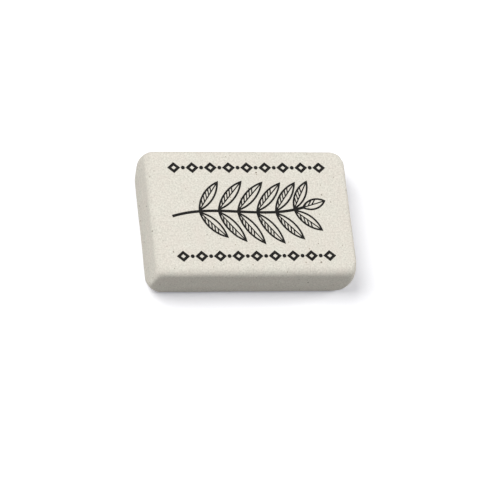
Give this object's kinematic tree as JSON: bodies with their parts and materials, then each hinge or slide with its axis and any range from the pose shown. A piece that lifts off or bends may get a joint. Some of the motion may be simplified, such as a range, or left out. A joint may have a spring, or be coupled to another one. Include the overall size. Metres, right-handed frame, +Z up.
{
  "type": "eraser",
  "caption": "Pencil eraser: a small pale rubber block with flat sides, rounded edges and worn corners, its top face printed in black with a leafy sprig between border rows.",
  "frame": {"origin": "centre of the base face, on the surface that the block lies on", "axes": "+X along the block's length, +Y across its width, +Z up from the base to the printed face"},
  "size_m": [0.0356, 0.023, 0.0086],
  "materials": {
    "rubber": "matte, fine sandy grain with sparse dark specks",
    "ink": "thin matte printing ink"
  },
  "bodies": {
    "root": {"rubber_block": "rubber", "ink_print": "ink"}
  },
  "joints": []
}
